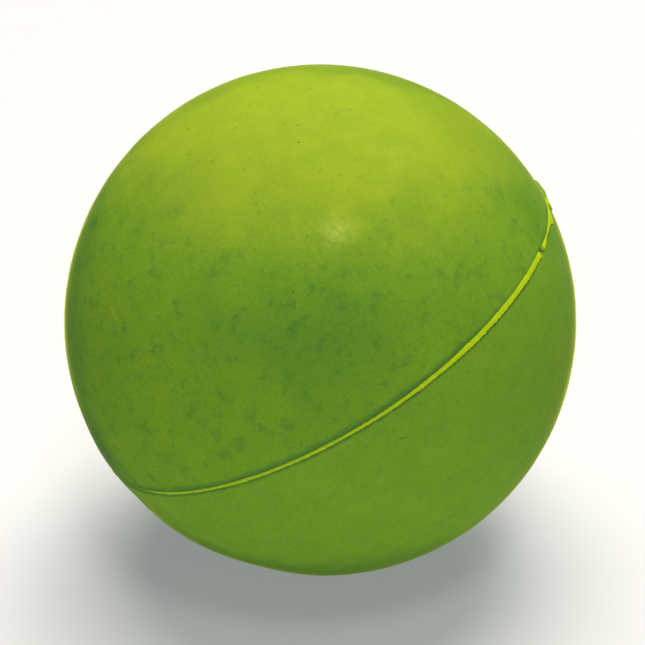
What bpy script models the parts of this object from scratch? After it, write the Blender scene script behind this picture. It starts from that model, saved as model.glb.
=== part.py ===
"""Hollow rubber playground ball, 60 mm across, as the separate rubber pieces it is moulded from.

Two half shells meet rim to rim at an equator. A ring of rubber cement joins the rims, a thin
flash line squeezed out of the joint stands proud of the surface, and a self-sealing plug for
the inflation needle sits inside the lower half, on its pole.

The frame's origin is the ball's centre and +Z is up as the ball lies on the ground. The pieces
are turned about the moulding axis, which leans away from +Z.
"""
import math

import bmesh
import bpy

# Driving dimensions, in metres and radians.
BALL_RADIUS = 0.030
WALL = 0.0045
AXIS_LEAN = math.radians(30.1)  # of the moulding axis, from +Z towards -X

JOINT_THICKNESS = 0.0004  # of the cement ring and of the flash fin
CLEARANCE = 0.0003  # between neighbouring pieces
UPPER_EDGE_ROUND = 0.0009  # the outer edge of each rim rolls down into the joint
LOWER_EDGE_ROUND = 0.0006
INNER_EDGE_ROUND = 0.0003

CEMENT_DEPTH = 0.0034  # how far the cement ring runs outwards from the inner bead
CEMENT_BEAD_RADIUS = 0.0005  # squeezed out inside the ball

FLASH_DEPTH = 0.0011  # rooted this far below the ball's surface
FLASH_PROUD = 0.00026  # standing this far above it
FLASH_BEAD_RADIUS = 0.00023

PLUG_RADIUS = 0.0055
PLUG_HEIGHT = 0.0034
PLUG_EDGE = 0.0003  # upright step at the plug's edge

# Facets of the turned shapes.
SHELL_SEGMENTS = 64
RING_SEGMENTS = 64
CEMENT_SEGMENTS = 48
PLUG_SEGMENTS = 24
OUTER_STEPS = 12
INNER_STEPS = 8
EDGE_STEPS = 3
BEAD_STEPS = 6
PLUG_STEPS = 4
SMOOTH_ANGLE = math.radians(40)

# Derived sizes.
INNER_RADIUS = BALL_RADIUS - WALL
RIM_HEIGHT = JOINT_THICKNESS / 2 + CLEARANCE  # of a rim face above the equator plane

# Colours are linear RGB.
UPPER_GREEN = (0.23, 0.36, 0.025)
LOWER_GREEN = (0.21, 0.33, 0.027)
FLASH_GREEN = (0.42, 0.56, 0.020)
CEMENT_GREEN = (0.30, 0.38, 0.080)
PLUG_GREY = (0.10, 0.12, 0.08)


def clear_scene():
    for ob in list(bpy.data.objects):
        bpy.data.objects.remove(ob, do_unlink=True)


def rubber(name, colour, roughness):
    """A plain rubber material."""
    mat = bpy.data.materials.new(name)
    mat.use_nodes = True
    shader = mat.node_tree.nodes["Principled BSDF"]
    shader.inputs["Base Color"].default_value = (*colour, 1.0)
    shader.inputs["Roughness"].default_value = roughness
    shader.inputs["Metallic"].default_value = 0.0
    return mat


def arc(centre, radius, start, end, steps):
    """Points (r, z) along an arc; angles run from the +r direction towards +z."""
    points = []
    for i in range(steps + 1):
        angle = start + (end - start) * i / steps
        r = centre[0] + radius * math.cos(angle)
        z = centre[1] + radius * math.sin(angle)
        points.append((max(r, 0.0), z))
    return points


def turned(name, profile, segments, material, closed):
    """Spins an (r, z) profile about Z. An open profile starts and ends on the axis."""
    bm = bmesh.new()
    verts = [bm.verts.new((r, 0.0, z)) for r, z in profile]
    edges = [bm.edges.new(pair) for pair in zip(verts, verts[1:])]
    if closed:
        edges.append(bm.edges.new((verts[-1], verts[0])))
    bmesh.ops.spin(
        bm,
        geom=verts + edges,
        cent=(0.0, 0.0, 0.0),
        axis=(0.0, 0.0, 1.0),
        angle=2 * math.pi,
        steps=segments,
        use_merge=True,
    )
    bmesh.ops.remove_doubles(bm, verts=bm.verts, dist=1e-6)
    bmesh.ops.recalc_face_normals(bm, faces=bm.faces)
    mesh = bpy.data.meshes.new(name)
    bm.to_mesh(mesh)
    bm.free()
    mesh.materials.append(material)
    mesh.shade_smooth()
    mesh.set_sharp_from_angle(angle=SMOOTH_ANGLE)
    ob = bpy.data.objects.new(name, mesh)
    bpy.context.scene.collection.objects.link(ob)
    return ob


def shell_profile(edge_round):
    """Outer skin from the pole down, rolled edge, rim face, and the inner skin back up."""
    outer_z = RIM_HEIGHT + edge_round
    outer_centre = (math.sqrt((BALL_RADIUS - edge_round) ** 2 - outer_z**2), outer_z)
    outer_edge = math.atan2(outer_centre[1], outer_centre[0])
    inner_z = RIM_HEIGHT + INNER_EDGE_ROUND
    inner_reach = INNER_RADIUS + INNER_EDGE_ROUND
    inner_centre = (math.sqrt(inner_reach**2 - inner_z**2), inner_z)
    inner_edge = math.atan2(inner_centre[1], inner_centre[0])

    points = arc((0.0, 0.0), BALL_RADIUS, math.pi / 2, outer_edge, OUTER_STEPS)
    points += arc(outer_centre, edge_round, outer_edge, -math.pi / 2, EDGE_STEPS)[1:]
    points += arc(
        inner_centre, INNER_EDGE_ROUND, -math.pi / 2, inner_edge - math.pi, EDGE_STEPS
    )
    points += arc((0.0, 0.0), INNER_RADIUS, inner_edge, math.pi / 2, INNER_STEPS)[1:]
    return points


def half_shell(name, side, edge_round, material):
    """One moulded half; side is +1 for the upper half and -1 for the lower one."""
    profile = [(r, side * z) for r, z in shell_profile(edge_round)]
    return turned(name, profile, SHELL_SEGMENTS, material, closed=False)


def bond_ring(material):
    """The flat cement web between the rims, with its bead on the inside of the ball."""
    half = JOINT_THICKNESS / 2
    bead_r = INNER_RADIUS - CEMENT_BEAD_RADIUS - half
    neck = math.asin(half / CEMENT_BEAD_RADIUS)
    profile = arc(
        (bead_r, 0.0), CEMENT_BEAD_RADIUS, neck, 2 * math.pi - neck, BEAD_STEPS
    )
    web_end = INNER_RADIUS + CEMENT_DEPTH - CEMENT_BEAD_RADIUS
    profile += [(web_end, -half), (web_end, half)]
    return turned("bond_ring", profile, CEMENT_SEGMENTS, material, closed=True)


def seam_flash(material):
    """The fin squeezed out of the joint, with a rounded bead along its outer edge."""
    half = JOINT_THICKNESS / 2
    bead_r = BALL_RADIUS + FLASH_PROUD - FLASH_BEAD_RADIUS
    neck = math.pi - math.asin(half / FLASH_BEAD_RADIUS)
    root = BALL_RADIUS - FLASH_DEPTH
    profile = [(root, half), (root, -half)]
    profile += arc((bead_r, 0.0), FLASH_BEAD_RADIUS, -neck, neck, BEAD_STEPS)
    return turned("seam_flash", profile, RING_SEGMENTS, material, closed=True)


def inflation_plug(material):
    """A low dome seated against the inner skin at the lower half's pole."""
    seat = INNER_RADIUS - CLEARANCE
    edge_angle = -math.acos(PLUG_RADIUS / seat)
    profile = arc((0.0, 0.0), seat, -math.pi / 2, edge_angle, PLUG_STEPS)
    edge_z = profile[-1][1] + PLUG_EDGE
    dome = -seat + PLUG_HEIGHT - edge_z
    for i in range(PLUG_STEPS + 1):
        turn = math.pi / 2 * i / PLUG_STEPS
        r = PLUG_RADIUS * math.cos(turn)
        profile.append((max(r, 0.0), edge_z + dome * math.sin(turn)))
    return turned("inflation_plug", profile, PLUG_SEGMENTS, material, closed=False)


def moulding_frame():
    """The empty that every piece hangs on; its local Z is the moulding axis."""
    empty = bpy.data.objects.new("moulding_frame", None)
    empty.rotation_euler = (0.0, -AXIS_LEAN, 0.0)
    bpy.context.scene.collection.objects.link(empty)
    return empty


def main():
    clear_scene()
    frame = moulding_frame()
    upper_rubber = rubber("upper_rubber", UPPER_GREEN, 0.5)
    lower_rubber = rubber("lower_rubber", LOWER_GREEN, 0.5)
    pieces = [
        half_shell("upper_half_shell", 1, UPPER_EDGE_ROUND, upper_rubber),
        half_shell("lower_half_shell", -1, LOWER_EDGE_ROUND, lower_rubber),
        bond_ring(rubber("cement", CEMENT_GREEN, 0.6)),
        seam_flash(rubber("flash_rubber", FLASH_GREEN, 0.5)),
        inflation_plug(rubber("plug_rubber", PLUG_GREY, 0.7)),
    ]
    for piece in pieces:
        piece.parent = frame
    bpy.context.view_layer.update()


main()
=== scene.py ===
"""Looks of the hollow rubber playground ball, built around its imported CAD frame.

Each rubber piece is a closed mesh of its own, shaped in the ball's moulding frame: local z is the
moulding axis, longitude runs round the bonded joint and latitude up to the two moulded poles.
Lengths inside the shaping functions are in millimetres, and finished meshes are in metres.
"""
import math

import bpy
import numpy as np
from mathutils import Euler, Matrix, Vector


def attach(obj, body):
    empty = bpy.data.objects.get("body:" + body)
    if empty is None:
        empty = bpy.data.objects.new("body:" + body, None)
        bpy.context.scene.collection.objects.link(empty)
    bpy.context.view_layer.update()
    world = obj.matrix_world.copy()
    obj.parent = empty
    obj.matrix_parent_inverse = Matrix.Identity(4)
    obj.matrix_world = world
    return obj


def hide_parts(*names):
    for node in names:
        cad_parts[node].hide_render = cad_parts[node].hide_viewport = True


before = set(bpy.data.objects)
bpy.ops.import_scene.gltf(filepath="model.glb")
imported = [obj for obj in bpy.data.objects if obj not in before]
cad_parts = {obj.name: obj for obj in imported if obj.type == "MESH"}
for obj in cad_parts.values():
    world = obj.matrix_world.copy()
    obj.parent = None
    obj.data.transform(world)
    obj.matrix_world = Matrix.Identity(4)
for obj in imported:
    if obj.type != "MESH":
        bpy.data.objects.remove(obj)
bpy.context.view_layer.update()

MM = 0.001


# ---------------------------------------------------------------- what the frame says


def node_points(name):
    """The corners of a CAD node, in millimetres."""
    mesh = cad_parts[name].data
    points = np.empty(len(mesh.vertices) * 3)
    mesh.vertices.foreach_get("co", points)
    return points.reshape(-1, 3) / MM


def moulding_axis():
    """The upward normal of the joint's plane, from the flash ring."""
    points = node_points("seam_flash")
    _, directions = np.linalg.eigh(np.cov(points.T))
    normal = directions[:, 0]
    return normal * np.sign(normal[2])


shell_reach = np.linalg.norm(node_points("upper_half_shell"), axis=1)
BALL = shell_reach.max()  # outer radius
BORE = shell_reach.min()  # inner radius
AXIS = moulding_axis()
SIDE = np.array([0.0, 1.0, 0.0])
TURN = np.stack([np.cross(SIDE, AXIS), SIDE, AXIS], axis=1)  # moulding frame to world
LEAN = math.atan2(-AXIS[0], AXIS[2])  # of the axis from +Z towards -X
UPWARDS = TURN[2]  # the world's up, in the moulding frame


# ---------------------------------------------------------------- smooth, seeded unevenness


def waves(points, wavelength, seed, count=24):
    """A smooth field of about unit size: plane waves of one wavelength in all directions."""
    rng = np.random.default_rng(seed)
    directions = rng.normal(size=(count, 3))
    directions /= np.linalg.norm(directions, axis=1, keepdims=True)
    stretch = rng.uniform(0.75, 1.35, size=(count, 1))
    phases = rng.uniform(0, 2 * math.pi, size=count)
    turns = points @ (directions * stretch * 2 * math.pi / wavelength).T
    return np.cos(turns + phases).sum(axis=1) * math.sqrt(2 / count)


def ripple(longitude, fewest, most, seed, count=30):
    """A smooth field of about unit size round the joint, with whole waves per turn."""
    rng = np.random.default_rng(seed)
    numbers = rng.integers(fewest, most + 1, size=count)
    phases = rng.uniform(0, 2 * math.pi, size=count)
    turns = np.outer(longitude, numbers) + phases
    return np.cos(turns).sum(axis=1) * math.sqrt(2 / count)


def teeth(longitude, count, seed):
    """Small torn teeth, up to 1 high: each grows slowly along the joint and ends abruptly."""
    rng = np.random.default_rng(seed)
    total = np.zeros_like(longitude)
    for _ in range(count):
        tip = rng.uniform(-180, 180)
        length = rng.uniform(1.0, 4.0)
        height = rng.uniform(0.3, 1.0)
        before = (tip - np.degrees(longitude)) % 360
        total = np.maximum(total, height * np.clip(1 - before / length, 0, 1))
    return total


def ramp(value, start, end):
    """0 at start and 1 at end, smooth between."""
    t = np.clip((value - start) / (end - start), 0, 1)
    return t * t * (3 - 2 * t)


def bump(angle, centre, reach):
    """1 at the centre angle falling smoothly to 0 at the reach, in degrees round the joint."""
    away = (np.degrees(angle) - centre + 180) % 360 - 180
    return ramp(-np.abs(away), -reach, 0)


def direction(longitude, latitude):
    """Unit vectors in the moulding frame."""
    flat = np.cos(latitude)
    return np.stack(
        [flat * np.cos(longitude), flat * np.sin(longitude), np.sin(latitude)], axis=-1
    )


# ---------------------------------------------------------------- meshes


def fan(centre, ring, flip):
    """Triangles from one pole corner to a ring."""
    n = len(ring)
    faces = [(centre, ring[i], ring[(i + 1) % n]) for i in range(n)]
    return [f[::-1] for f in faces] if flip else faces


def band(near, far):
    """Faces between two rings of corners; the far one may have as many, half or twice as many."""
    if len(far) > len(near):
        return [f[::-1] for f in band(far, near)]
    n = len(far)
    faces = []
    for j in range(n):
        k = (j + 1) % n
        if len(near) == n:
            faces.append((near[j], far[j], far[k], near[k]))
        else:
            a, b, c = near[2 * j], near[2 * j + 1], near[(2 * j + 2) % len(near)]
            faces += [(a, far[j], b), (b, far[j], far[k]), (b, far[k], c)]
    return faces


def signed_volume(points, faces):
    """Positive where the faces turn outwards."""
    corners = np.array([f[:3] for f in faces] + [(f[0], f[2], f[3]) for f in faces if len(f) == 4])
    a, b, c = (points[corners[:, i]] for i in range(3))
    return float((np.cross(a, b) * c).sum()) / 6


def new_piece(name, points, faces, material):
    """A closed mesh from points in the moulding frame, facing out."""
    world = (points @ TURN.T) * MM
    mesh = bpy.data.meshes.new(name)
    mesh.from_pydata(world.tolist(), [], faces)
    mesh.validate()
    mesh.materials.append(material)
    mesh.shade_smooth()
    piece = bpy.data.objects.new(name, mesh)
    bpy.context.scene.collection.objects.link(piece)
    if signed_volume(points, faces) < 0:
        mesh.flip_normals()
    return piece


def stacked_rings(name, rings, material):
    """A closed body from a pole, through rings of corners, to another pole."""
    points = []
    index = []
    total = 0
    for ring in rings:
        points.append(ring)
        index.append(list(range(total, total + len(ring))))
        total += len(ring)
    faces = fan(index[0][0], index[1], flip=True)
    for near, far in zip(index[1:-2], index[2:-1]):
        faces += band(near, far)
    faces += fan(index[-1][0], index[-2], flip=False)
    return new_piece(name, np.concatenate(points), faces, material)


def endless_strip(name, section, columns, material):
    """A closed ring body; section(longitudes) gives its outline's (r, z) columns."""
    longitudes = turn_steps(columns)
    outline = section(longitudes)
    around = len(outline)
    r = np.array([o[0] for o in outline])
    z = np.array([o[1] for o in outline])
    points = np.stack([r * np.cos(longitudes), r * np.sin(longitudes), z], axis=-1)
    index = np.arange(around * columns).reshape(around, columns)
    faces = []
    for k in range(around):
        faces += band(index[k].tolist(), index[(k + 1) % around].tolist())
    return new_piece(name, points.reshape(-1, 3), faces, material)


def turn_steps(columns):
    """Evenly spaced longitudes of one whole turn."""
    return np.arange(columns) * 2 * math.pi / columns


def level_ring(longitude, r, z):
    """A ring of corners; r may vary round it, and so may z."""
    return np.stack([r * np.cos(longitude), r * np.sin(longitude), z + 0 * longitude], axis=-1)


# ---------------------------------------------------------------- the half shells

RIM = 0.12  # half the thickness of the joint between the rims
RIM_COLUMNS = 1024
RIM_BAND = 2.0  # width beside the joint that takes all the columns
RIM_ROUND = 0.1  # between the rim face and the bore
RIM_SHARES = (0.9, 0.7, 0.35, 0.0)  # where the rim face's rings lie, from the bore outwards
FEWEST_COLUMNS = 32
HALVE_BELOW = 0.55  # a ring takes half as many columns below this share of the size they suit
ROW_STEP = 0.36  # between rows of the open skin
FIRST_ROW_STEP = 0.06  # between rows next to the joint
ROW_GROWTH = 1.12
POLE_ROWS = 8  # extra rows round the lower pole's needle mark
POLE_STEP = 0.14
INNER_STEP = 1.5
INNER_START = math.radians(1.2)  # latitude of the inner skin's first row
INNER_COLUMNS = RIM_COLUMNS // 2 ** (len(RIM_SHARES) - 1)

# Dents and swells of the soft rubber: longitude, latitude, reach (degrees) and height (mm).
SWELLS = (
    (-165, 27, 22, 0.08),
    (-160, 4, 6, 0.10),
    (-150, -7, 4, -0.34),
    (-163, -9, 5, -0.40),
    (-176, -12, 5, -0.38),
    (-136, -33, 11, -0.27),
    (-55, -54, 26, 0.18),
    (-24, -38, 18, 0.03),
    (-8, -18, 18, 0.01),
    (110, -25, 26, -0.14),
    (85, 10, 18, -0.10),
    (150, -60, 30, 0.10),
)

# The mark that the inflation needle leaves at the lower pole.
NEEDLE_DENT = 0.16
NEEDLE_REACH = 0.45

# Finer unevenness of the skins: height and wavelength, in millimetres.
SLOW_WAVES = (0.010, 34.0)  # runs over both halves
SKIN_WAVES = ((0.006, 5.0), (0.003, 1.6))  # each half has its own
INNER_WAVES = (0.05, 14.0)

TIGHT_PLACE = -8  # the upper half's rolled edge is narrowest at this longitude
TIGHT_REACH = 55


class Half:
    """How one moulded half rolls down into the joint."""

    def __init__(self, side, reach, roundness, seed, tighter=0.0):
        self.side = side
        self.reach = reach  # width of the rolled edge
        self.roundness = roundness  # its radius
        self.seed = seed
        self.tighter = tighter  # how much narrower the roll is round TIGHT_PLACE

    def roll_width(self, longitude):
        """How wide the rolled edge is, which wanders a little round the joint."""
        slow = ripple(longitude, 4, 40, self.seed + 2)
        quick = ripple(longitude, 60, 220, self.seed + 3)
        width = self.reach * (1 + 0.07 * slow + 0.04 * quick)
        return width * (1 - self.tighter * bump(longitude, TIGHT_PLACE, TIGHT_REACH))

    def groove(self, longitude, beyond):
        """How deep the skin has rolled down, at a distance from the joint's plane."""
        into = np.clip(self.roll_width(longitude) - (beyond - RIM), 0, self.roundness * 0.97)
        return self.roundness - np.sqrt(self.roundness**2 - into**2)


UPPER = Half(side=1, reach=0.85, roundness=2.0, seed=11, tighter=0.4)
LOWER = Half(side=-1, reach=0.50, roundness=1.0, seed=23)


def swelling(directions):
    """Low dents and swells, in millimetres."""
    height, wavelength = SLOW_WAVES
    total = height * waves(directions * BALL, wavelength, seed=3)
    for longitude, latitude, reach, height in SWELLS:
        centre = direction(math.radians(longitude), math.radians(latitude))
        away = np.degrees(np.arccos(np.clip(directions @ centre, -1, 1)))
        total += height * np.exp(-((away / reach) ** 2))
    return total


def skin_radius(half, longitude, arc):
    """Distance from the centre to the outer skin, at an arc distance from the joint's plane."""
    latitude = half.side * arc / BALL
    directions = direction(longitude, np.full_like(longitude, latitude))
    radius = BALL + swelling(directions)
    for i, (height, wavelength) in enumerate(SKIN_WAVES):
        radius += height * waves(directions * BALL, wavelength, seed=half.seed + i)
    if half is LOWER:
        from_pole = math.pi / 2 * BALL - arc
        radius -= NEEDLE_DENT * math.exp(-((from_pole / NEEDLE_REACH) ** 2))
    return radius - half.groove(longitude, arc)


def columns_at(radius_share):
    """How many columns a ring of that share of the ball's radius takes."""
    most = RIM_COLUMNS // 2
    columns = most
    while columns > FEWEST_COLUMNS and columns * HALVE_BELOW > most * radius_share:
        columns //= 2
    return columns


def outer_arcs():
    """Arc distances from the joint of the outer skin's rows, from the joint to near the pole."""
    arcs = [RIM]
    step = FIRST_ROW_STEP
    pole = math.pi / 2 * BALL
    last_rows = [pole - POLE_STEP * (POLE_ROWS - i) for i in range(POLE_ROWS)]
    while arcs[-1] + step < last_rows[0] - POLE_STEP:
        arcs.append(arcs[-1] + step)
        step = min(step * ROW_GROWTH, ROW_STEP)
    return arcs + last_rows


def outer_rings(half):
    """Rings of the outer skin and its rolled edge, from the pole to the joint."""
    pole_dent = NEEDLE_DENT if half is LOWER else 0.0
    rings = [np.array([[0, 0, half.side * (BALL - pole_dent)]])]
    for arc in reversed(outer_arcs()):
        columns = RIM_COLUMNS if arc < RIM_BAND else columns_at(math.cos(arc / BALL))
        longitude = turn_steps(columns)
        radius = skin_radius(half, longitude, arc)
        latitude = half.side * arc / BALL
        rings.append(direction(longitude, np.full(columns, latitude)) * radius[:, None])
    return rings


def rim_rings(half, edge):
    """Rings of the flat rim face, from the edge ring inwards, each with half as many columns."""
    edge_r = np.hypot(edge[:, 0], edge[:, 1])
    start = BORE + RIM_ROUND
    rings = []
    for i, share in enumerate(RIM_SHARES):
        r = start + share * (edge_r[:: 2**i] - start)
        rings.append(level_ring(turn_steps(RIM_COLUMNS // 2**i), r, half.side * RIM))
    return rings


def inner_rings(half):
    """Rings of the inner skin, from the joint to the pole."""
    rows = int(math.pi / 2 * BORE / INNER_STEP)
    height, wavelength = INNER_WAVES
    longitude = turn_steps(INNER_COLUMNS)
    rings = []
    for row in range(rows):
        latitude = (INNER_START * (rows - row) + math.pi / 2 * row) / rows
        place = direction(longitude, np.full(INNER_COLUMNS, latitude))
        inner = BORE + height * waves(place * BORE, wavelength, seed=7)
        rings.append(place * inner[:, None] * (1, 1, half.side))
    rings.append(np.array([[0, 0, half.side * BORE]]))
    return rings


def half_skin(name, half, material):
    """One moulded half: outer skin, rolled edge, rim face and inner skin."""
    outer = outer_rings(half)
    rings = outer + rim_rings(half, outer[-1]) + inner_rings(half)
    return stacked_rings(name, rings, material)


# ---------------------------------------------------------------- the joint

FLASH_COLUMNS = 2048
FLASH_ROOT = 1.1  # below the ball's surface
FLASH_NECK = 0.10  # half the fin's thickness between the rims
FLASH_DIP = 0.45  # how far the neck stays below the skin's surface
FLASH_POINTS = 17
HEAD_BLUNTNESS = 0.4  # power that crowds the head's points towards its edges
HEAD_FULLNESS = 0.3  # power that keeps the head's back flat
HEAD_ROUGHNESS = 0.005
EDGE_SINK = 0.01  # the head's edges sink this far into the skin
HEAD_LEAST = 0.02  # the crest stays at least this far above the edges, and they above the neck
FRAY_WAVES = (150, 500)  # fewest and most small waves round the joint's whole turn
CREST = 0.12  # the head is highest from here below the joint's plane up to the plane
LIP = 0.05  # thickness of the head at its upper edge
SLANT = 0.7  # share of the way that the head slants down to that thickness
FLAP = 0.18  # thickness of a flap that lies on the lower half
TORN = -0.42  # how far above the skin a torn-off stretch ends

# The flash's head, round the joint: longitude in degrees, then in millimetres how far it reaches
# up and down from the joint's plane, and how far its crest stands proud of the skin.
FLASH_PLAN = (
    (-170.0, 0.14, 0.10, 0.06),
    (-158.0, 0.13, 0.10, 0.08),
    (-146.0, 0.12, 0.10, -0.06),
    (-139.0, 0.11, 0.10, -0.08),
    (-132.0, 0.13, 0.10, 0.00),
    (-118.0, 0.16, 0.11, 0.06),
    (-76.0, 0.17, 0.13, 0.09),
    (-66.0, 0.23, 0.15, 0.10),
    (-56.0, 0.33, 0.19, 0.11),
    (-46.0, 0.40, 0.14, 0.12),
    (-28.0, 0.46, 0.16, 0.12),
    (-25.0, 0.44, 0.17, 0.12),
    (-23.9, 0.42, 0.30, 0.12),
    (-23.6, 0.10, 0.10, TORN),
    (-21.8, 0.10, 0.10, TORN),
    (-21.5, 0.34, 0.20, 0.12),
    (-19.0, 0.26, 0.14, 0.08),
    (-17.5, 0.15, 0.10, 0.00),
    (-16.0, 0.14, 0.10, -0.06),
    (-14.5, 0.16, 0.10, 0.00),
    (-12.0, 0.24, 0.12, 0.05),
    (-10.5, 0.24, 0.30, 0.07),
    (-8.2, 0.22, 0.86, 0.11),
    (-6.2, 0.18, 0.46, 0.10),
    (-4.0, 0.16, 0.12, 0.05),
    (-0.6, 0.12, 0.12, 0.04),
    (0.0, 0.12, 1.25, 0.24),
    (3.0, 0.11, 0.50, 0.24),
    (6.5, 0.11, 0.14, 0.44),
    (10.5, 0.11, 0.11, 0.60),
    (12.0, 0.11, 0.11, 0.72),
    (15.0, 0.11, 0.11, 0.80),
    (15.8, 0.11, 0.11, 0.08),
    (24.0, 0.12, 0.12, 0.06),
    (36.0, 0.20, 0.14, 0.12),
    (40.2, 0.22, 0.30, 0.12),
    (40.6, 0.10, 0.10, TORN),
    (43.0, 0.10, 0.10, TORN),
    (43.4, 0.16, 0.12, 0.10),
    (70.0, 0.26, 0.14, 0.12),
    (94.0, 0.16, 0.11, 0.08),
    (99.0, 0.12, 0.10, -0.10),
    (104.0, 0.20, 0.13, 0.10),
    (129.0, 0.24, 0.16, 0.12),
    (132.8, 0.20, 0.66, 0.12),
    (133.4, 0.16, 0.14, 0.10),
    (150.0, 0.22, 0.15, 0.12),
    (176.0, 0.16, 0.11, 0.08),
)


def flash_plan(longitude):
    """Reach up, reach down and height at each longitude, before the small unevenness."""
    places, *columns = zip(*FLASH_PLAN)
    degrees = np.degrees(longitude)
    return [np.interp(degrees, places, column, period=360) for column in columns]


def frayed(longitude, wander, wander_waves, fray, seed):
    """A slow wander and a fine fray, each of the height given in millimetres."""
    slow = wander * ripple(longitude, *wander_waves, seed)
    return slow + fray * ripple(longitude, *FRAY_WAVES, seed + 1)


def skin_under(half, longitude, surface, crest, away):
    """Radius of a half's skin under an edge of the head, kept below the crest."""
    return np.minimum(surface - half.groove(longitude, away) - EDGE_SINK, crest - HEAD_LEAST)


def flash_section(longitude):
    """The fin's outline: root, neck in the joint, and a head that slants up from the upper half."""
    up, down, proud = flash_plan(longitude)
    whole = ramp(proud, -0.15, 0.05)  # 0 where the head is torn off
    up = up + whole * frayed(longitude, 0.010, (8, 60), 0.013, seed=41)
    down = down + whole * frayed(longitude, 0.008, (8, 60), 0.016, seed=43)
    down = down + whole * 0.07 * teeth(longitude, count=90, seed=45)
    up = up + whole * 0.03 * teeth(-longitude, count=40, seed=46)
    proud = proud + whole * frayed(longitude, 0.012, (6, 50), 0.006, seed=47)

    surface = BALL + swelling(direction(longitude, np.zeros_like(longitude)))
    crest = surface + proud
    upper_skin = skin_under(UPPER, longitude, surface, crest, up)
    lower_skin = skin_under(LOWER, longitude, surface, crest, down)
    neck = np.minimum(np.minimum(upper_skin, lower_skin), surface - FLASH_DIP) - HEAD_LEAST
    root = np.full_like(longitude, BALL - FLASH_ROOT)
    thin = np.full_like(longitude, FLASH_NECK)
    lying = ramp(down, 0.2, 0.5)  # 1 where the lower edge is a flap

    outline = [(root, thin), (root, -thin), (neck, -thin)]
    for i in range(FLASH_POINTS):
        turn = math.pi * (i / (FLASH_POINTS - 1) - 0.5)
        across = math.copysign(abs(math.sin(turn)) ** HEAD_BLUNTNESS, turn)
        rise = math.cos(turn) ** HEAD_FULLNESS if 0 < i < FLASH_POINTS - 1 else 0.0
        share = (1 + across) / 2
        z = -down + share * (up + down)
        slant = SLANT * np.clip((z + CREST) / (up + CREST), 0, 1)
        droop = lying * np.clip((-z - CREST) / (down - CREST + 0.02), 0, 1)
        top = crest - slant * np.maximum(crest - upper_skin - LIP, 0)
        top = top - droop * np.maximum(crest - lower_skin - FLAP, 0)
        base = lower_skin + share * (upper_skin - lower_skin)
        rough = HEAD_ROUGHNESS * rise * ripple(longitude, 200, 700, 50 + i)
        outline.append((base + rise * np.maximum(top - base, 0.01) + rough, z))
    outline.append((neck, thin))
    return outline


CEMENT_COLUMNS = 512
CEMENT_BEAD = 0.5
CEMENT_BEAD_POINTS = 9
CEMENT_BEAD_OPEN = 25  # degrees either side of where the web leaves the bead
CEMENT_GAP = 0.2  # between the web and the flash's root


def cement_section(longitude):
    """The web between the rims, with the bead squeezed out inside the ball."""
    bead = CEMENT_BEAD * (1 + 0.12 * ripple(longitude, 5, 30, 61))
    web = np.full_like(longitude, RIM * 0.95)
    outer = np.full_like(longitude, BALL - FLASH_ROOT - CEMENT_GAP)
    centre = BORE - CEMENT_BEAD - RIM
    outline = [(outer, web), (outer, -web)]
    swing = 360 - 2 * CEMENT_BEAD_OPEN
    for i in range(CEMENT_BEAD_POINTS):
        turn = math.radians(-CEMENT_BEAD_OPEN - swing * i / (CEMENT_BEAD_POINTS - 1))
        outline.append((centre + bead * math.cos(turn), bead * math.sin(turn)))
    return outline


PLUG_COLUMNS = 96
PLUG_ROWS = 16
PLUG_EDGE_SHARE = 0.98  # the plug's edge begins at this share of its reach
PLUG_SEAT_SHARES = (0.25, 0.5, 0.75, 0.92, PLUG_EDGE_SHARE)  # where the seat's rings lie


def plug_body(name, material):
    """The low dome on the inner skin at the lower pole."""
    points = node_points("inflation_plug") @ TURN
    away = np.hypot(points[:, 0], points[:, 1])
    reach = away.max()
    seat = points[:, 2].min()
    top = points[:, 2].max()
    edge = points[away > reach * PLUG_EDGE_SHARE, 2].max()
    longitude = turn_steps(PLUG_COLUMNS)
    rings = [np.array([[0, 0, seat]])]
    for share in PLUG_SEAT_SHARES:
        r = reach * share
        rings.append(level_ring(longitude, r, -math.sqrt(seat**2 - r**2)))
    for step in range(1, PLUG_ROWS):
        turn = math.pi / 2 * step / PLUG_ROWS
        r = reach * math.cos(turn) * (1 + 0.01 * ripple(longitude, 3, 12, 71))
        z = edge + (top - edge) * math.sin(turn)
        z = z + 0.05 * ripple(longitude, 2, 9, 72) * math.sin(2 * turn)
        rings.append(level_ring(longitude, r, z))
    rings.append(np.array([[0, 0, top]]))
    return stacked_rings(name, rings, material)


# ---------------------------------------------------------------- materials


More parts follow.
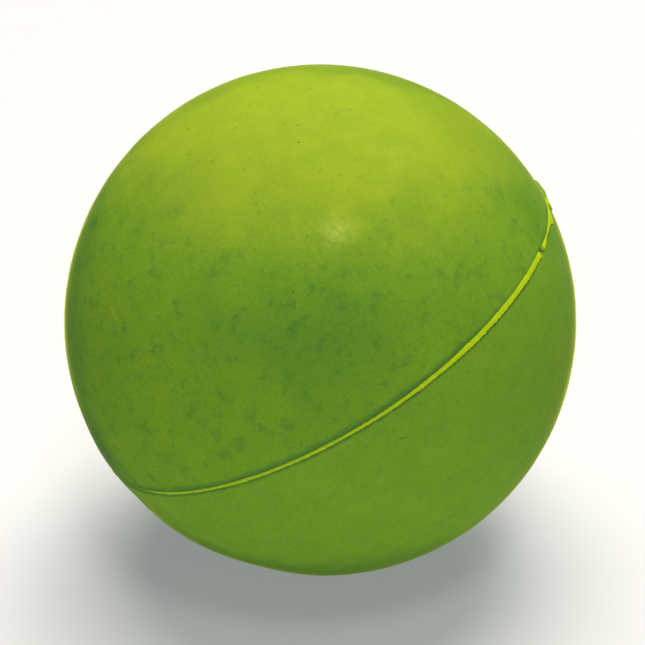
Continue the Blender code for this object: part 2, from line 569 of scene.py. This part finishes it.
class Graph:
    """One material's shader nodes, with short calls that return output sockets."""

    def __init__(self, name):
        self.material = bpy.data.materials.new(name)
        self.material.use_nodes = True
        self.nodes = self.material.node_tree.nodes
        self.links = self.material.node_tree.links
        self.shader = self.nodes["Principled BSDF"]

    def feed(self, socket, value):
        """Links an output socket to an input one, or sets the input to a plain value."""
        if isinstance(value, bpy.types.NodeSocket):
            self.links.new(value, socket)
        else:
            socket.default_value = value

    def coords(self):
        """Position in the moulding frame, in millimetres."""
        place = self.nodes.new("ShaderNodeTexCoord")
        mapping = self.nodes.new("ShaderNodeMapping")
        mapping.inputs["Rotation"].default_value = (0, LEAN, 0)
        mapping.inputs["Scale"].default_value = (1 / MM, 1 / MM, 1 / MM)
        self.feed(mapping.inputs["Vector"], place.outputs["Object"])
        return mapping.outputs["Vector"]

    def math(self, operation, a, b=0.0):
        """The result of a Math node."""
        node = self.nodes.new("ShaderNodeMath")
        node.operation = operation
        for socket, value in zip(node.inputs, (a, b)):
            self.feed(socket, value)
        return node.outputs[0]

    def vector(self, operation, a, b=(0.0, 0.0, 0.0), output="Vector"):
        """The result of a Vector Math node."""
        node = self.nodes.new("ShaderNodeVectorMath")
        node.operation = operation
        self.feed(node.inputs[0], a)
        self.feed(node.inputs[1], b)
        return node.outputs[output]

    def noise_node(self, coords, size, offset):
        """Noise whose blobs are about size millimetres across; another offset is another noise."""
        node = self.nodes.new("ShaderNodeTexNoise")
        node.noise_dimensions = "4D"
        self.feed(node.inputs["Vector"], coords)
        node.inputs["W"].default_value = offset
        node.inputs["Scale"].default_value = 1 / size
        return node

    def noise(self, coords, size, detail=2.0, roughness=0.5, distortion=0.0, offset=0.0):
        """Noise as a value from 0 to 1."""
        node = self.noise_node(coords, size, offset)
        node.inputs["Detail"].default_value = detail
        node.inputs["Roughness"].default_value = roughness
        node.inputs["Distortion"].default_value = distortion
        return node.outputs["Fac"]

    def warped(self, facing, coords, size, amount, offset):
        """The direction from the centre, pushed about by noise, up to amount each way."""
        noise = self.noise_node(coords, size, offset).outputs["Color"]
        push = self.vector("SUBTRACT", noise, (0.5, 0.5, 0.5))
        reach = 2 * amount
        return self.vector("ADD", facing, self.vector("MULTIPLY", push, (reach, reach, reach)))

    def spread(self, value, low, high, to_low=0.0, to_high=1.0):
        """Maps low..high to to_low..to_high, clamped and smooth."""
        node = self.nodes.new("ShaderNodeMapRange")
        node.interpolation_type = "SMOOTHSTEP"
        self.feed(node.inputs["Value"], value)
        node.inputs["From Min"].default_value = low
        node.inputs["From Max"].default_value = high
        node.inputs["To Min"].default_value = to_low
        node.inputs["To Max"].default_value = to_high
        return node.outputs["Result"]

    def mix(self, factor, a, b, blend="MIX"):
        """Colour a towards colour b; sockets 6 and 7 are the node's colour ones."""
        node = self.nodes.new("ShaderNodeMix")
        node.data_type = "RGBA"
        node.blend_type = blend
        self.feed(node.inputs[0], factor)
        for socket, colour in ((node.inputs[6], a), (node.inputs[7], b)):
            self.feed(socket, (*colour, 1.0) if isinstance(colour, tuple) else colour)
        return node.outputs[2]

    def blot(self, colour, amount, strength, tone):
        """Lays a tone over the colour, as far as the amount (0 to 1) times the strength."""
        return self.mix(self.math("MULTIPLY", amount, strength), colour, tone)

    def shade(self, colour, value, low, high, low_tint, high_tint):
        """Multiplies a colour by a tint that runs from low_tint to high_tint."""
        tint = self.mix(self.spread(value, low, high), low_tint, high_tint)
        return self.mix(1.0, colour, tint, "MULTIPLY")

    def part(self, coords, axis):
        """One of the coordinates."""
        node = self.nodes.new("ShaderNodeSeparateXYZ")
        self.feed(node.inputs[0], coords)
        return node.outputs[axis]

    def near(self, facing, longitude, latitude, inner, outer):
        """1 within the inner distance (mm) of a place on the skin, 0 beyond the outer one."""
        place = direction(math.radians(longitude), math.radians(latitude))
        away = self.vector("DISTANCE", facing, tuple(place), "Value")
        return self.spread(away, outer / BALL, inner / BALL)

    def arc_line(self, facing, centre, radius, middle, reach, width):
        """1 on a thin arc about the centre, as far as its reach from the arc's middle."""
        place = direction(*(math.radians(angle) for angle in centre))
        away = self.vector("DISTANCE", facing, tuple(place), "Value")
        off = self.math("ABSOLUTE", self.math("SUBTRACT", away, radius / BALL))
        line = self.spread(off, width / BALL, 0.3 * width / BALL)
        return self.math("MULTIPLY", line, self.near(facing, *middle, reach * 0.5, reach))

    def spots(self, coords, spacing, radius, share):
        """Scattered round dots: 1 inside a dot; share is how many cells hold one."""
        node = self.nodes.new("ShaderNodeTexVoronoi")
        node.feature = "F1"
        self.feed(node.inputs["Vector"], coords)
        node.inputs["Scale"].default_value = 1 / spacing
        chosen = self.nodes.new("ShaderNodeSeparateColor")
        self.feed(chosen.inputs[0], node.outputs["Color"])
        inside = self.spread(node.outputs["Distance"], radius / spacing, 0.4 * radius / spacing)
        picked = self.math("LESS_THAN", chosen.outputs[0], share)
        return self.math("MULTIPLY", inside, picked)

    def relief(self, *layers):
        """A normal from (height, depth in mm) layers."""
        normal = None
        for value, depth in layers:
            node = self.nodes.new("ShaderNodeBump")
            node.inputs["Strength"].default_value = 1.0
            node.inputs["Distance"].default_value = depth * MM
            self.feed(node.inputs["Height"], value)
            if normal is not None:
                self.feed(node.inputs["Normal"], normal)
            normal = node.outputs["Normal"]
        return normal


RUBBER_GLOSS = {
    "IOR": 1.45,
    "Specular IOR Level": 0.005,
    "Specular Tint": (0.80, 1.0, 0.30, 1.0),
    "Sheen Weight": 0.80,
    "Sheen Roughness": 0.13,
    "Sheen Tint": (1.0, 1.0, 0.10, 1.0),
}

# Dark specks pressed into the skin: longitude, latitude, radius (mm) and how dark.
SPECKS = (
    (-84.4, 78.8, 0.17, 0.85),
    (-48.9, 54.3, 0.15, 0.70),
    (-77.9, 29.6, 0.16, 0.50),
    (-52.4, 39.0, 0.18, 0.25),
    (-23.0, 0.8, 0.28, 0.85),  # dark spot in the break of the flash
    (-51.1, -2.2, 0.17, 0.30),
    (-48.0, -6.3, 0.15, 0.30),
    (-57.3, -4.0, 0.18, 0.30),
    (-21.6, -30.5, 0.22, 0.50),
    (0.0, -90.0, 0.22, 0.90),  # the needle's mark
    (70.0, 40.0, 0.16, 0.75),
    (140.0, 15.0, 0.18, 0.65),
    (60.0, -35.0, 0.15, 0.65),
    (-170.0, -50.0, 0.17, 0.60),
)

# Short arcs left by handling: the circle's centre (longitude, latitude) and radius (mm), the arc's
# middle (longitude, latitude), its reach and width (mm), and strength.
DARK_TICKS = (
    ((-69.7, 6.8), 7.7, (-75.2, -6.8), 0.55, 0.07, 0.75),
    ((-117.0, -30.0), 9.0, (-118.3, -16.3), 1.3, 0.06, 0.25),
    ((95.0, 30.0), 9.0, (95.0, 47.0), 0.9, 0.07, 0.60),
)
PALE_SCRATCHES = (
    ((-124.4, 41.3), 1.50, (-128.0, 39.9), 1.5, 0.10, 0.32),
    ((-64.6, 9.0), 6.4, (-52.6, 5.2), 1.9, 0.08, 0.22),
    ((60.0, 10.0), 9.0, (60.0, 27.5), 3.0, 0.08, 0.25),
    ((160.0, 50.0), 5.0, (170.0, 45.0), 2.5, 0.08, 0.25),
    ((20.0, -50.0), 6.0, (20.0, -38.7), 2.0, 0.08, 0.22),
)

# Darker clouds in the colour: longitude, latitude, full and outer reach (mm) and strength. Those
# that reach 30 mm and more are painted shade, darkening the sides of the ball that the camera sees
# edge-on.
CLOUDS_AND_EDGE_SHADE = (
    (-78.0, 21.0, 2.0, 10.0, 0.50),
    (-92.0, 24.0, 0.0, 8.0, 0.40),
    (-85.0, 14.0, 0.0, 6.5, 0.30),
    (-70.0, 15.0, 0.0, 7.0, 0.38),
    (-66.0, 25.0, 0.0, 5.0, 0.22),
    (-98.0, 33.0, 0.0, 7.0, 0.32),
    (-153.0, 6.0, 4.0, 9.0, 1.00),
    (-156.0, 7.0, 3.0, 7.0, 0.80),
    (89.0, 11.0, 35.5, 40.5, 0.75),
    (152.0, -57.0, 29.5, 34.5, 1.00),
    (-51.0, 9.0, 0.0, 8.0, 0.22),
    (-93.0, 60.0, 0.0, 8.0, 0.28),
    (147.0, 12.5, 28.5, 35.5, 0.95),
    (30.0, 4.0, 23.0, 30.0, 0.55),
    (130.0, -30.0, 0.0, 12.0, 0.40),
)
CLOUD_WARP = 0.16  # how far the clouds' outlines wander, as a share of the radius

# Scuffed patches, paler and finely roughened: longitude, latitude, reach (mm) and strength. The
# first three are painted highlights, pale patches where the lights' soft gloss falls.
SCUFFS_AND_HIGHLIGHTS = (
    (-61.6, 34.2, 2.9, 0.85),
    (-62.4, 34.0, 1.3, 0.60),
    (-34.9, 37.4, 3.5, 0.25),
    (100.0, 52.0, 3.0, 0.45),
    (30.0, -20.0, 2.6, 0.35),
)

UPPER_GREEN = (0.168, 0.325, 0.023)
LOWER_GREEN = (0.175, 0.335, 0.026)
TOP_LIT_GREEN = (0.275, 0.385, 0.024)  # painted light: lighter and yellower round the top, where the key light falls
MARK_GREEN = (0.030, 0.045, 0.008)
STAIN_GREEN = (0.060, 0.190, 0.035)
# Dirt and painted shade beside the joint, where the rolled edges dip into the groove.
SOIL_AND_SHADE_GREEN = (0.062, 0.190, 0.036)
SOIL_AND_SHADE_STRENGTH = 0.80
# pale scratches, scuffs and painted highlights
PALE_AND_HIGHLIGHT_GREEN = (0.420, 0.520, 0.090)
CLOUD_AND_SHADE_TINT = (0.62, 0.76, 1.05)

# Tints at the low and the high end of each layer of unevenness in the skin's colour.
DRIFT_TINTS = ((0.97, 0.98, 1.0), (1.03, 1.02, 1.0))
BLOTCH_TINTS = ((0.94, 0.965, 1.0), (1.035, 1.02, 1.0))
GRAIN_TINTS = ((0.90, 0.925, 0.915), (1.065, 1.055, 1.05))


def gloss(graph):
    """The rubber's faint gloss, with the thin yellow rim that its sheen gives."""
    for socket, value in RUBBER_GLOSS.items():
        graph.shader.inputs[socket].default_value = value


class Skin:
    """One skin's shader nodes, with the coordinates and noises that its layers share."""

    def __init__(self, name, offset):
        self.graph = Graph(name)
        self.offset = offset
        self.coords = self.graph.coords()
        self.facing = self.graph.vector("NORMALIZE", self.coords)
        self.drift = self.noise(9.0, 0, detail=3.0, distortion=0.4)
        self.blotches = self.noise(2.2, 5, detail=4.0, roughness=0.6)
        self.grain = self.noise(0.28, 9, detail=2.0, roughness=0.7)
        upwards = self.graph.vector("DOT_PRODUCT", self.facing, tuple(UPWARDS), "Value")
        wander = self.graph.spread(self.drift, 0.3, 0.7, -0.04, 0.04)
        self.height = self.graph.math("ADD", upwards, wander)  # 1 at the top, -1 at the bottom

    def noise(self, size, number, **shape):
        """One of the skin's own noises, by number."""
        return self.graph.noise(self.coords, size, offset=self.offset + number, **shape)


def top_lit_colour(skin, green):
    """The base colour, with painted light making it lighter and yellower towards the top, and with
    drifting tones and grain.
    """
    graph = skin.graph
    # painted light: lighter and yellower towards the top, where the key light falls
    colour = graph.mix(graph.spread(skin.height, 0.54, 0.85), green, TOP_LIT_GREEN)
    colour = graph.shade(colour, skin.drift, 0.35, 0.68, *DRIFT_TINTS)
    colour = graph.shade(colour, skin.blotches, 0.38, 0.66, *BLOTCH_TINTS)
    grained = graph.shade(colour, skin.grain, 0.32, 0.68, *GRAIN_TINTS)
    return graph.mix(graph.spread(skin.height, 0.52, 0.84, 1.0, 0.55), colour, grained)


def stained(skin, colour, mottling):
    """Dark-green mottling below the painted lit top, with clouds, painted shade on the sides seen
    edge-on, dapples and dust.
    """
    graph = skin.graph
    stains = skin.noise(1.5, 25, detail=4.0, roughness=0.65)
    mottled = graph.spread(stains, 0.50, 0.72, 0.0, mottling)
    colour = graph.blot(colour, mottled, graph.spread(skin.height, 0.84, 0.5), STAIN_GREEN)
    wandering = graph.warped(skin.facing, skin.coords, 6.0, CLOUD_WARP, skin.offset + 29)
    # the widest clouds are painted shade on the sides of the ball seen edge-on
    for longitude, latitude, full, outer, strength in CLOUDS_AND_EDGE_SHADE:
        place = graph.near(wandering, longitude, latitude, full, outer)
        patchy = graph.spread(skin.blotches, 0.25, 0.65, 0.6 * strength, strength)
        darker = graph.mix(1.0, colour, CLOUD_AND_SHADE_TINT, "MULTIPLY")
        colour = graph.blot(colour, place, patchy, darker)
    dapples = graph.spots(skin.coords, 1.7, 0.34, 0.6)
    colour = graph.blot(colour, dapples, 0.5 * mottling, STAIN_GREEN)
    dust = graph.spots(skin.coords, 3.1, 0.13, 0.4)
    return graph.blot(colour, dust, 0.45, MARK_GREEN)


def scuffing_and_highlights(skin):
    """How scuffed the skin is, with painted highlights laid on as pale patches where the lights'
    gloss falls.
    """
    graph = skin.graph
    total = None
    for longitude, latitude, reach, strength in SCUFFS_AND_HIGHLIGHTS:
        place = graph.near(skin.facing, longitude, latitude, 0.0, reach)
        patchy = graph.spread(skin.blotches, 0.35, 0.6, 0.3 * strength, strength)
        pale_patch = graph.math("MULTIPLY", place, patchy)
        total = pale_patch if total is None else graph.math("ADD", total, pale_patch)
    return total


def marked(skin, colour):
    """Specks, dark ticks and pale scratches."""
    graph = skin.graph
    for longitude, latitude, radius, dark in SPECKS:
        speck = graph.near(skin.facing, longitude, latitude, radius * 0.4, radius)
        colour = graph.blot(colour, speck, dark, MARK_GREEN)
    for marks, tone in ((DARK_TICKS, MARK_GREEN), (PALE_SCRATCHES, PALE_AND_HIGHLIGHT_GREEN)):
        for centre, radius, middle, reach, width, strength in marks:
            line = graph.arc_line(skin.facing, centre, radius, middle, reach, width)
            colour = graph.blot(colour, line, strength, tone)
    return colour


def joint_soil_and_shade(skin, width, fade_span):
    """How dark the skin is beside the joint, partly dirt and partly painted shade in the groove;
    fade_span is where that grows faint, in mm along X.
    """
    graph = skin.graph
    away = graph.math("ABSOLUTE", graph.part(skin.coords, "Z"))
    ragged = graph.spread(graph.noise(skin.coords, 1.1, detail=3.0), 0.3, 0.7, -0.1, 0.1)
    soil_and_shade = graph.spread(graph.math("ADD", away, ragged), width, width * 0.35, 0.0, SOIL_AND_SHADE_STRENGTH)
    fade_along_x = graph.spread(graph.part(skin.coords, "X"), *fade_span, 1.0, 0.25)
    return graph.math("MULTIPLY", soil_and_shade, fade_along_x)


def skin_rubber(name, green, soil_and_shade_width, fade_span, mottling, offset):
    """Moulded lime rubber: a top made lighter and yellower by painted light, stains, clouds and
    painted edge shade, scuffs and painted highlights, marks, and dirt and painted shade beside the
    joint.
    """
    skin = Skin(name, offset)
    graph = skin.graph
    scuffs_and_highlights = scuffing_and_highlights(skin)
    colour = stained(skin, top_lit_colour(skin, green), mottling)
    streaks = graph.spread(skin.noise(0.45, 33, detail=3.0), 0.35, 0.65, 0.30, 0.62)
    # pale scuffs, and painted highlights where the lights' gloss falls
    colour = graph.blot(colour, scuffs_and_highlights, streaks, PALE_AND_HIGHLIGHT_GREEN)
    # dirt and painted shade darken the skin beside the joint
    colour = graph.mix(joint_soil_and_shade(skin, soil_and_shade_width, fade_span), marked(skin, colour), SOIL_AND_SHADE_GREEN)
    graph.feed(graph.shader.inputs["Base Color"], colour)

    worn = skin.noise(4.5, 13, detail=5.0, roughness=0.65)
    graph.feed(graph.shader.inputs["Roughness"], graph.spread(worn, 0.3, 0.7, 0.42, 0.58))
    peel = skin.noise(0.75, 17, detail=3.0, roughness=0.6)
    rubbed = graph.math("MULTIPLY", scuffs_and_highlights, skin.noise(0.5, 21, detail=4.0))
    relief = graph.relief((peel, 0.020), (skin.grain, 0.008), (rubbed, 0.12))
    graph.feed(graph.shader.inputs["Normal"], relief)
    gloss(graph)
    return graph.material


# Flash colours: on its thinner and its thicker side of the ball, and along its darkened stretches.
FLASH_THIN = (0.38, 0.61, 0.030)
FLASH_THICK = (0.43, 0.58, 0.010)
FLASH_DARKENED = (0.13, 0.24, 0.02)

# Darkened stretches of the flash: longitude, full and outer reach (mm).
DARKENED_STRETCHES = (
    (9.0, 3.0, 5.0),
    (-155.0, 7.5, 12.5),
)


def flash_rubber():
    """The thin squeezed-out rubber: yellower, less darkened and brightest where it is thickest."""
    graph = Graph("flash_yellow_green")
    coords = graph.coords()
    stretch = graph.noise(coords, 0.9, detail=4.0, roughness=0.6, offset=2)
    grain = graph.noise(coords, 0.12, detail=2.0, offset=3)
    thick = graph.spread(graph.part(coords, "X"), -22.0, 18.0)
    colour = graph.mix(thick, FLASH_THIN, FLASH_THICK)
    facing = graph.vector("NORMALIZE", coords)
    for longitude, full, outer in DARKENED_STRETCHES:
        darkened = graph.near(facing, longitude, 0.0, full, outer)
        colour = graph.blot(colour, darkened, 0.80, FLASH_DARKENED)
    colour = graph.shade(colour, stretch, 0.35, 0.7, (0.90, 0.93, 1.0), (1.06, 1.04, 1.0))
    colour = graph.shade(colour, grain, 0.3, 0.7, (0.92, 0.94, 0.9), (1.04, 1.04, 1.0))
    graph.feed(graph.shader.inputs["Base Color"], colour)
    graph.feed(graph.shader.inputs["Roughness"], graph.spread(stretch, 0.3, 0.7, 0.40, 0.58))
    graph.feed(graph.shader.inputs["Normal"], graph.relief((grain, 0.010)))
    gloss(graph)
    return graph.material


def cement_rubber():
    """Cured cement: dull, streaky and bubbled."""
    graph = Graph("cement_dull_green")
    coords = graph.coords()
    streaks = graph.noise(coords, 2.5, detail=4.0, distortion=1.2, offset=4)
    bubbles = graph.spots(coords, 0.8, 0.22, 0.5)
    colour = graph.mix(streaks, (0.24, 0.30, 0.06), (0.40, 0.44, 0.11))
    graph.feed(graph.shader.inputs["Base Color"], graph.mix(bubbles, colour, (0.16, 0.2, 0.05)))
    graph.feed(graph.shader.inputs["Roughness"], graph.spread(streaks, 0.3, 0.7, 0.5, 0.75))
    graph.feed(graph.shader.inputs["Normal"], graph.relief((bubbles, -0.04), (streaks, 0.03)))
    return graph.material


def plug_rubber():
    """Soft self-sealing rubber: matt grey-green with a talc bloom."""
    graph = Graph("plug_grey_green")
    coords = graph.coords()
    talc = graph.noise(coords, 1.2, detail=5.0, roughness=0.7, offset=8)
    grain = graph.noise(coords, 0.2, detail=2.0, offset=9)
    colour = graph.mix(graph.spread(talc, 0.45, 0.7), (0.075, 0.095, 0.065), (0.26, 0.28, 0.24))
    graph.feed(graph.shader.inputs["Base Color"], colour)
    graph.feed(graph.shader.inputs["Roughness"], graph.spread(talc, 0.3, 0.7, 0.6, 0.85))
    graph.feed(graph.shader.inputs["Normal"], graph.relief((grain, 0.02)))
    return graph.material


# The floor is a lit translucent table, which keeps the shadow pale.
FLOOR_GLOW = 0.22
FLOOR_DARK = (0.515, 0.525, 0.58)
FLOOR_LIGHT = (0.545, 0.555, 0.61)


def floor_paper():
    """A pale, faintly fibrous sheet on a light table."""
    graph = Graph("pale_floor")
    place = graph.nodes.new("ShaderNodeTexCoord")
    fibres = graph.nodes.new("ShaderNodeTexNoise")
    fibres.inputs["Scale"].default_value = 60
    graph.feed(fibres.inputs["Vector"], place.outputs["Object"])
    colour = graph.mix(fibres.outputs["Fac"], FLOOR_DARK, FLOOR_LIGHT)
    graph.feed(graph.shader.inputs["Base Color"], colour)
    graph.shader.inputs["Emission Color"].default_value = (0.96, 0.98, 1.0, 1.0)
    graph.shader.inputs["Emission Strength"].default_value = FLOOR_GLOW
    graph.shader.inputs["Roughness"].default_value = 0.8
    graph.shader.inputs["Specular IOR Level"].default_value = 0.2
    return graph.material


# ---------------------------------------------------------------- the ball


def build_ball():
    """Every piece of the ball, riding on its body in place of its CAD node."""
    upper = skin_rubber(
        "upper_green", UPPER_GREEN, soil_and_shade_width=1.15, fade_span=(17.0, 25.0), mottling=0.55, offset=0.0
    )
    lower = skin_rubber(
        "lower_green", LOWER_GREEN, soil_and_shade_width=0.60, fade_span=(30.0, 40.0), mottling=0.18, offset=40.0
    )
    flash = endless_strip("flash_line", flash_section, FLASH_COLUMNS, flash_rubber())
    cement = endless_strip("cement_ring", cement_section, CEMENT_COLUMNS, cement_rubber())
    pieces = (
        (half_skin("upper_skin", UPPER, upper), "upper_half_shell", "upper_rubber"),
        (half_skin("lower_skin", LOWER, lower), "lower_half_shell", "lower_rubber"),
        (flash, "seam_flash", "flash_rubber"),
        (cement, "bond_ring", "cement"),
        (plug_body("needle_plug", plug_rubber()), "inflation_plug", "plug_rubber"),
    )
    for piece, node, slot in pieces:
        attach(piece, "root")
        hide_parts(node)


# ---------------------------------------------------------------- studio

CAMERA_ELEVATION = math.radians(25.9)
CAMERA_DISTANCE = 6.0  # in ball radii
HALF_VIEW = 0.21315  # tangent of half the view's angle
CAMERA_SHIFT = (0.0032, -0.0036)
SENSOR = 36.0
FLOOR_SIZE = 6.0
LIGHT_DISTANCE = 1.2
WORLD_GLOW = 0.06

# Round area lights: name, azimuth and elevation (degrees), size (m), power (W) and colour.
# Azimuth 0 is the camera's side and 90 is +X.
LIGHTS = (
    ("key", 176, 76, 1.0, 18.8, (1.0, 0.92, 0.76)),
    ("right_back", 150, 60, 0.7, 4.0, (1.0, 0.95, 0.85)),
    ("front_top", 15, 63, 0.3, 2.2, (1.0, 1.0, 0.9)),
    ("front_low", 0, 12, 0.8, 4.2, (1.0, 1.0, 1.0)),
)


def build_floor():
    """A wide pale plane under the ball."""
    bpy.ops.mesh.primitive_grid_add(x_subdivisions=40, y_subdivisions=40, size=FLOOR_SIZE)
    floor = bpy.context.object
    floor.name = "floor"
    floor.location.z = -BALL * MM
    floor.data.materials.append(floor_paper())


def build_camera():
    """The camera, level from side to side and looking down at the ball's centre."""
    data = bpy.data.cameras.new("camera")
    data.sensor_width = SENSOR
    data.lens = SENSOR / 2 / HALF_VIEW
    data.shift_x, data.shift_y = CAMERA_SHIFT
    data.clip_start = 0.01
    camera = bpy.data.objects.new("camera", data)
    bpy.context.scene.collection.objects.link(camera)
    away = BALL * MM * CAMERA_DISTANCE
    tilt = CAMERA_ELEVATION
    camera.location = (0, -away * math.cos(tilt), away * math.sin(tilt))
    camera.rotation_euler = Euler((math.pi / 2 - tilt, 0, 0))
    bpy.context.scene.camera = camera


def soft_light(name, azimuth, elevation, size, power, colour):
    """An area light facing the ball."""
    data = bpy.data.lights.new(name, "AREA")
    data.shape = "DISK"
    data.size = size
    data.energy = power
    data.color = colour
    light = bpy.data.objects.new(name, data)
    bpy.context.scene.collection.objects.link(light)
    turn = math.radians(azimuth)
    rise = math.radians(elevation)
    towards = (math.sin(turn) * math.cos(rise), -math.cos(turn) * math.cos(rise), math.sin(rise))
    light.location = Vector(towards) * LIGHT_DISTANCE
    light.rotation_euler = light.location.to_track_quat("Z", "Y").to_euler()


def build_studio():
    """The floor, camera, lights and a dim pale surround."""
    build_floor()
    build_camera()
    for light in LIGHTS:
        soft_light(*light)
    world = bpy.data.worlds.new("studio")
    world.use_nodes = True
    background = world.node_tree.nodes["Background"]
    background.inputs["Color"].default_value = (0.95, 1.0, 1.0, 1.0)
    background.inputs["Strength"].default_value = WORLD_GLOW
    bpy.context.scene.world = world
    bpy.context.scene.view_settings.view_transform = "Standard"


build_ball()
build_studio()
